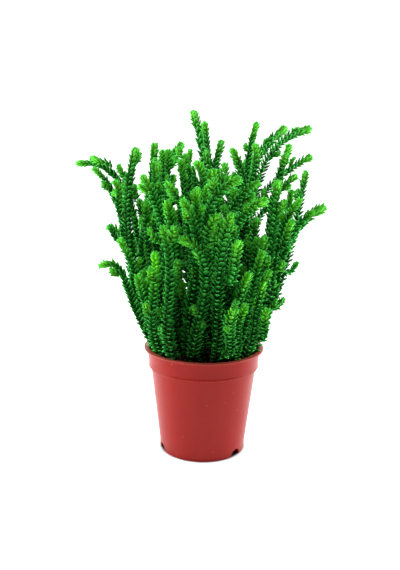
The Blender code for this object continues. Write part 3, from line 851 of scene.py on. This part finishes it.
def leafy_tree():
    """Sets a pair of leaves at every point of a path and wraps a stem round the path."""
    make = Growth("Leafy shoot", {
        "Leaf": "Object", "Turn Jitter": "Float", "Lean Jitter": "Float", "Size Jitter": "Float",
        "Stem Sides": "Int", "Seed": "Int", "Leaf Finish": "Material", "Stem Finish": "Material",
    })
    path = make.add("GeometryNodeMeshToCurve", None, {"Mesh": make.asked("Geometry")})
    points = make.add("GeometryNodeCurveToPoints", {"mode": "EVALUATED"}, {"Curve": path})
    tangent = make.other(points, "Tangent")
    normal = make.other(points, "Normal")
    bare = make.add(
        "FunctionNodeCompare", {"data_type": "FLOAT", "operation": "LESS_THAN"},
        {0: make.field("size"), 1: 0.01},
    )
    kept = make.add(
        "GeometryNodeDeleteGeometry", {"domain": "POINT"}, {"Geometry": points, "Selection": bare}
    )
    pairs = make.add(
        "GeometryNodeDuplicateElements", {"domain": "POINT"}, {"Geometry": kept, "Amount": 2}
    )
    half_turn = make.other(pairs, "Duplicate Index") * math.pi
    stand = make.add(
        "FunctionNodeAxesToRotation", {"primary_axis": "Z", "secondary_axis": "X"},
        {"Primary Axis": tangent, "Secondary Axis": normal},
    )
    turn = make.field("turn") + half_turn + make.spread(make.asked("Turn Jitter"), 1)
    lean = make.field("lean") + make.spread(make.asked("Lean Jitter"), 2)
    size = make.field("size") * (1.0 + make.spread(make.asked("Size Jitter"), 3))
    turned = make.turned(stand, (0.0, 0.0, 1.0), turn)
    leaned = make.turned(turned, (0.0, 1.0, 0.0), lean)
    leaf = make.object_shape("Leaf")
    leaves = make.add(
        "GeometryNodeInstanceOnPoints", None,
        {"Points": pairs, "Instance": leaf, "Rotation": leaned, "Scale": size},
    )
    toned = make.toned(leaves, (make.field("tone") + make.spread(0.5, 4)).clamped())
    real = make.add("GeometryNodeRealizeInstances", None, {"Geometry": toned})
    ring = make.add(
        "GeometryNodeCurvePrimitiveCircle", None,
        {"Resolution": make.asked("Stem Sides"), "Radius": 1.0},
    )
    stem = make.add(
        "GeometryNodeCurveToMesh", None,
        {"Curve": path, "Profile Curve": ring, "Scale": make.field("stem"), "Fill Caps": True},
    )
    leafy = make.finished(real, "Leaf Finish")
    barked = make.finished(stem, "Stem Finish")
    make.add("NodeGroupOutput", None, {"Geometry": make.joined(leafy, barked)})
    return make.tree


def grow(piece, tree, inputs):
    """Runs a node tree on a piece with its named inputs, and keeps the result as a plain mesh."""
    modifier = piece.modifiers.new("Grow", "NODES")
    modifier.node_group = tree
    for item in tree.interface.items_tree:
        if item.item_type == "SOCKET" and item.in_out == "INPUT" and item.name in inputs:
            modifier[item.identifier] = inputs[item.name]
    settle(piece)


class PLANT_OT_shoots(bpy.types.Operator):
    """Dress every shoot with its stem, leaves, branches and side sprigs"""

    bl_idname = "plant.shoots"
    bl_label = "Leafy shoots"

    def execute(self, context):
        sizes = context.scene.plant_leaves
        leaf = add_piece("leaf", leaf_mesh(sizes))
        tree = leafy_tree()
        inputs = {
            "Leaf": leaf, "Turn Jitter": sizes.turn_jitter, "Lean Jitter": sizes.lean_jitter,
            "Size Jitter": sizes.size_jitter, "Stem Sides": sizes.stem_sides,
            "Leaf Finish": leaf_finish(sizes), "Stem Finish": stem_finish(sizes),
        }
        slots = {part["node"]: part["material_slot"] for part in frame["record"]["subparts"]}
        lines = {node: smooth_line(middle_line(node)) for node in SHOOT_NODES}
        crown = Crown(lines.values(), sizes)
        for number, (node, line) in enumerate(lines.items()):
            random = np.random.default_rng(sizes.seed * 1000 + number)
            is_fresh = slots[node] == "leaf_fresh"
            shoots = grown_from(node, line, is_fresh, crown, sizes, random)
            piece = path_object(f"foliage_{node}", shoots)
            grow(piece, tree, {**inputs, "Seed": number})
            dress(piece, node)
        bpy.data.objects.remove(leaf)
        return {"FINISHED"}


# ---------------------------------------------------------------- pot

# The bead round the band's lower edge, as (out from the band, up from its edge, rounding).
BAND_BEAD = (
    (-0.25 * MM, -0.35 * MM, 0.2 * MM),
    (0.22 * MM, 0.0, 0.2 * MM),
    (0.18 * MM, 0.9 * MM, 0.5 * MM),
    (0.02 * MM, 1.6 * MM, 0.5 * MM),
)


def rounded(corners, steps=4):
    """An outline of (radius, height, rounding) corners with each corner rounded off."""
    outline = []
    for index, (radius, height, rounding) in enumerate(corners):
        corner = Vector((radius, height))
        if rounding == 0.0 or index in (0, len(corners) - 1):
            outline.append(corner)
            continue
        before = Vector(corners[index - 1][:2]) - corner
        after = Vector(corners[index + 1][:2]) - corner
        reach = min(rounding, before.length * 0.45, after.length * 0.45)
        start = corner + before.normalized() * reach
        end = corner + after.normalized() * reach
        for step in range(steps + 1):
            part = step / steps
            outline.append(start.lerp(corner, part).lerp(corner.lerp(end, part), part))
    return outline


def turned_mesh(name, outline, sides):
    """Turns an outline, which starts and ends on the axis, into one closed round solid.

    Its faces are made one by one, so that they come in the same order each time and the crumbs on
    them fall in the same places.
    """
    bm = bmesh.new()
    first, *between, last = outline
    turns = [math.tau * side / sides for side in range(sides)]
    rings = []
    for point in between:
        places = [(point.x * math.cos(turn), point.x * math.sin(turn), point.y) for turn in turns]
        rings.append([bm.verts.new(place) for place in places])
    under = bm.verts.new((0.0, 0.0, first.y))
    over = bm.verts.new((0.0, 0.0, last.y))
    for side in range(sides):
        after = (side + 1) % sides
        bm.faces.new((under, rings[0][after], rings[0][side]))
        for lower, upper in zip(rings, rings[1:]):
            bm.faces.new((lower[side], lower[after], upper[after], upper[side]))
        bm.faces.new((rings[-1][side], rings[-1][after], over))
    bmesh.ops.recalc_face_normals(bm, faces=bm.faces)
    return plain_mesh(bm, name)


def pot_corners(sizes):
    """The pot's outline from the middle of its underside, over the lip, to the middle of its
    floor, as (radius, height, rounding) corners."""
    top = POT_HIGH.z
    lip = POT_HIGH.x
    band = lip - sizes.lip_width
    band_foot = band - sizes.band_draft
    body = band_foot - sizes.body_step
    band_z = top - sizes.band_height
    body_z = band_z - sizes.step_height
    base = sizes.base_radius
    wall = sizes.wall
    ring = base - sizes.foot_ring
    slope = 1.0 * MM
    lip_under = top - sizes.lip_thickness
    soft, edge = 0.8 * MM, 0.35 * MM  # roundings

    def floor(lift, corner):
        return [
            (0.0, lift, 0.0),
            (sizes.pad_radius, lift, soft),
            (sizes.pad_radius + slope, lift + sizes.recess, soft),
            (ring - slope, lift + sizes.recess, soft),
            (ring, lift, edge),
            (base - corner, lift, 0.0),
        ]

    outside = [
        *floor(0.0, edge)[:-1],
        (base, 0.0, edge),
        (body, body_z, edge),
        *((band_foot + out, band_z + up, rounding) for out, up, rounding in BAND_BEAD),
        (band, lip_under, soft),
        (lip, lip_under, edge),
        (lip, top, edge),
    ]
    inside = [
        (band - wall, top, edge * 2),
        (band_foot - wall, band_z, edge),
        (body - wall, body_z, edge),
        (base - wall + 0.1 * MM, 2 * wall, soft),
        *reversed(floor(wall, 2 * wall)),
    ]
    return outside + inside


def notch_cutter(sizes, bearing):
    """An arch pushed through the foot of the wall."""
    half, rise = sizes.notch_width / 2, sizes.notch_height
    turns = np.linspace(math.pi, 0.0, 25)
    arch = [(half * math.cos(turn), rise * math.sin(turn)) for turn in turns]
    arch = [(-half, -rise), *arch, (half, -rise)]
    inner = sizes.base_radius - sizes.notch_reach
    bm = bmesh.new()
    face = bm.faces.new([bm.verts.new((inner, side, height)) for side, height in arch])
    pushed = bmesh.ops.extrude_face_region(bm, geom=[face])["geom"]
    moved = [part for part in pushed if isinstance(part, bmesh.types.BMVert)]
    bmesh.ops.translate(bm, verts=moved, vec=(2 * sizes.notch_reach, 0, 0))
    bmesh.ops.rotate(bm, verts=bm.verts, cent=(0, 0, 0), matrix=Matrix.Rotation(bearing, 3, "Z"))
    bmesh.ops.recalc_face_normals(bm, faces=bm.faces)
    return add_piece("notch", plain_mesh(bm, "notch"))


class PLANT_OT_pot(bpy.types.Operator):
    """Mould the pot with its lip, band and drain notches"""

    bl_idname = "plant.pot"
    bl_label = "Pot"

    def execute(self, context):
        sizes = context.scene.plant_pot
        mesh = turned_mesh("nursery_pot", rounded(pot_corners(sizes)), sizes.sides)
        pot = add_piece("nursery_pot", mesh, plastic_finish(sizes))
        cutters = [
            notch_cutter(sizes, sizes.notch_bearing + number * math.tau / sizes.notch_count)
            for number in range(sizes.notch_count)
        ]
        for cutter in cutters:
            cut = pot.modifiers.new("Notch", "BOOLEAN")
            cut.operation = "DIFFERENCE"
            cut.object = cutter
        settle(pot)
        for cutter in cutters:
            bpy.data.objects.remove(cutter)
        pot.data.shade_smooth()
        pot.data.set_sharp_from_angle(angle=math.radians(40))
        dress(pot, "pot")
        return {"FINISHED"}


# ---------------------------------------------------------------- potting mix


def crumb_mesh():
    """One angular crumb of peat or bark, about one unit across."""
    bm = bmesh.new()
    bmesh.ops.create_icosphere(bm, subdivisions=1, radius=0.5)
    random = np.random.default_rng(5)
    for vert in bm.verts:
        vert.co *= random.uniform(0.72, 1.15)
    return plain_mesh(bm, "crumb")


def crumbly_tree():
    """Scatters crumbs on the upper face of the mix."""
    make = Growth("Crumbly mix", {
        "Crumb": "Object", "Crumb Size": "Float", "Density": "Float", "Seed": "Int",
        "Finish": "Material",
    })
    normal = make.add("GeometryNodeInputNormal")
    height = make.add("ShaderNodeSeparateXYZ", None, {"Vector": normal}, output="Z")
    upper = make.add(
        "FunctionNodeCompare", {"data_type": "FLOAT", "operation": "GREATER_THAN"},
        {0: height, 1: 0.5},
    )
    scatter = make.add(
        "GeometryNodeDistributePointsOnFaces", None,
        {"Mesh": make.asked("Geometry"), "Selection": upper, "Density": make.asked("Density"),
         "Seed": make.asked("Seed")},
    )
    full_turns = (math.tau, math.tau, math.tau)
    tilt = make.add("FunctionNodeRandomValue", {"data_type": "FLOAT_VECTOR"}, {1: full_turns})
    size = make.random(0.35, 1.5) * make.asked("Crumb Size")
    crumb = make.object_shape("Crumb")
    crumbs = make.add(
        "GeometryNodeInstanceOnPoints", None,
        {"Points": scatter, "Instance": crumb, "Rotation": tilt, "Scale": size},
    )
    toned = make.toned(crumbs, make.random(0.0, 1.0))
    real = make.add("GeometryNodeRealizeInstances", None, {"Geometry": toned})
    whole = make.finished(make.joined(real, make.asked("Geometry")), "Finish")
    make.add("NodeGroupOutput", None, {"Geometry": whole})
    return make.tree


def mix_outline(sizes, pot):
    """Half the fill's outline, from the middle of its underside to the middle of its mound."""
    radius, top = MIX_HIGH.x, MIX_HIGH.z
    foot = pot.base_radius - pot.wall - 0.5 * MM
    shoulder = (radius - pot.body_step - pot.band_draft, top - 8 * MM)
    mound = [
        Vector((radius * part, top - sizes.rise * part**2)) for part in np.linspace(1.0, 0.0, 24)
    ]
    return [Vector((0.0, MIX_LOW.z)), Vector((foot, MIX_LOW.z)), Vector(shoulder), *mound]


def ripple_top(mesh, above):
    """Lifts and sinks the top of the mix by up to 0.6 mm, so that it isn't a smooth mound."""
    for vert in mesh.vertices:
        if vert.co.z > above:
            wave = math.sin(vert.co.x * 900) * math.cos(vert.co.y * 1100)
            finer = math.sin(vert.co.x * 2300 + 1.0) * math.sin(vert.co.y * 2100)
            vert.co.z += (0.35 * wave + 0.25 * finer) * MM


class PLANT_OT_mix(bpy.types.Operator):
    """Fill the pot with crumbly potting mix"""

    bl_idname = "plant.mix"
    bl_label = "Potting mix"

    def execute(self, context):
        sizes = context.scene.plant_mix
        outline = mix_outline(sizes, context.scene.plant_pot)
        fill = add_piece("potting_mix_fill", turned_mesh("potting_mix_fill", outline, sizes.sides))
        ripple_top(fill.data, MIX_HIGH.z - sizes.rise - 1 * MM)
        crumb = add_piece("crumb", crumb_mesh())
        per_square_metre = sizes.crumb_density * 1e4
        grow(fill, crumbly_tree(), {
            "Crumb": crumb, "Crumb Size": sizes.crumb_size, "Density": per_square_metre,
            "Seed": sizes.seed, "Finish": mix_finish(sizes),
        })
        bpy.data.objects.remove(crumb)
        dress(fill, "potting_mix")
        return {"FINISHED"}


# ---------------------------------------------------------------- stage

PLANT_MIDDLE = Vector((0.0, 0.0, 0.12))

# Each lamp's name, place, size in metres, and the setting that holds its power.
LAMPS = (
    ("left_light", (-0.74, 0.06, 0.34), (0.5, 0.8), "side_light"),
    ("right_light", (0.72, 0.20, 0.34), (0.5, 0.8), "side_light"),
    ("top_light", (-0.10, -0.06, 0.95), (0.7, 0.5), "top_light"),
)


def area_light(name, place, size, power):
    """A soft lamp that points at the middle of the plant."""
    data = bpy.data.lights.new(name, "AREA")
    data.shape = "RECTANGLE"
    data.size, data.size_y = size
    data.energy = power
    light = bpy.data.objects.new(name, data)
    bpy.context.scene.collection.objects.link(light)
    light.location = place
    light.rotation_euler = (PLANT_MIDDLE - light.location).to_track_quat("-Z", "Y").to_euler()


def light_the_room(tree, sizes):
    """White to look at, and a softer light on the plant that is brightest behind and above it."""
    make = Recipe(tree)
    lit = tree.nodes["Background"]
    aim = make.add("ShaderNodeTexCoord", output="Generated")
    behind = make.add("ShaderNodeSeparateXYZ", None, {"Vector": aim}, output="Y")
    above = make.other(behind, "Z")
    level = sizes.front_sky + (behind * 0.5 + 0.5) ** 4.0 * sizes.back_sky
    make.feed(lit.inputs["Strength"], level + above.clamped() * sizes.top_sky)
    seen = make.add("ShaderNodeBackground", None, {"Color": (1.0, 1.0, 1.0), "Strength": 1.0})
    camera_ray = make.add("ShaderNodeLightPath", output="Is Camera Ray")
    unseen = Value(make, lit.outputs[0])
    both = make.add("ShaderNodeMixShader", None, {0: camera_ray, 1: unseen, 2: seen})
    make.feed(tree.nodes["World Output"].inputs["Surface"], both)


def sweep_mesh():
    """A floor that curves up into a backdrop far behind the plant. Its sizes are in metres."""
    near, far, bend, rise, side = -1.6, 1.4, 0.9, 2.6, 3.0
    profile = [(near, 0.0)]
    for turn in np.linspace(0.0, math.pi / 2, 13):
        profile.append((far + bend * math.sin(turn), bend * (1 - math.cos(turn))))
    profile.append((far + bend, rise))
    bm = bmesh.new()
    rows = [[bm.verts.new((x, y, z)) for x in (-side, side)] for y, z in profile]
    for lower, upper in zip(rows, rows[1:]):
        bm.faces.new((lower[0], lower[1], upper[1], upper[0]))
    mesh = plain_mesh(bm, "sweep")
    mesh.shade_smooth()
    return mesh


class PLANT_OT_stage(bpy.types.Operator):
    """Set the floor, the lights and the camera"""

    bl_idname = "plant.stage"
    bl_label = "Stage"

    def execute(self, context):
        scene = context.scene
        sizes = scene.plant_stage
        add_piece("floor", sweep_mesh(), floor_finish())
        world = bpy.data.worlds.new("Surround")
        world.use_nodes = True
        light_the_room(world.node_tree, sizes)
        scene.world = world
        for name, place, size, setting in LAMPS:
            area_light(name, place, size, getattr(sizes, setting))
        data = bpy.data.cameras.new("camera")
        data.lens = sizes.focal_length
        data.clip_start, data.clip_end = 0.01, 20.0
        camera = bpy.data.objects.new("camera", data)
        scene.collection.objects.link(camera)
        turn = Matrix.Rotation(math.pi / 2 - sizes.camera_tilt, 4, "X")
        roll = Matrix.Rotation(sizes.camera_roll, 4, "Z")
        place = (sizes.camera_aside, -sizes.camera_distance, sizes.camera_height)
        camera.matrix_world = Matrix.Translation(place) @ turn @ roll
        scene.camera = camera
        scene.view_settings.view_transform = "Standard"
        return {"FINISHED"}


# ---------------------------------------------------------------- panel and run


OPERATORS = (PLANT_OT_pot, PLANT_OT_mix, PLANT_OT_shoots, PLANT_OT_stage)


class PLANT_PT_panel(bpy.types.Panel):
    """Buttons that make each piece of the plant"""

    bl_idname = "PLANT_PT_panel"
    bl_label = "Watch Chain Plant"
    bl_space_type = "VIEW_3D"
    bl_region_type = "UI"
    bl_category = "Plant"

    def draw(self, context):
        for operator in OPERATORS:
            self.layout.operator(operator.bl_idname)


SETTINGS = {
    "plant_leaves": PlantLeafSettings,
    "plant_pot": PlantPotSettings,
    "plant_mix": PlantMixSettings,
    "plant_stage": PlantStageSettings,
}


def register():
    for group in (*SETTINGS.values(), *OPERATORS, PLANT_PT_panel):
        bpy.utils.register_class(group)
    for name, group in SETTINGS.items():
        setattr(bpy.types.Scene, name, bpy.props.PointerProperty(type=group))


def unregister():
    for name in SETTINGS:
        delattr(bpy.types.Scene, name)
    for group in reversed((*SETTINGS.values(), *OPERATORS, PLANT_PT_panel)):
        bpy.utils.unregister_class(group)


def main():
    register()
    bpy.ops.plant.pot()
    bpy.ops.plant.mix()
    bpy.ops.plant.shoots()
    bpy.ops.plant.stage()


if __name__ == "__main__":
    main()
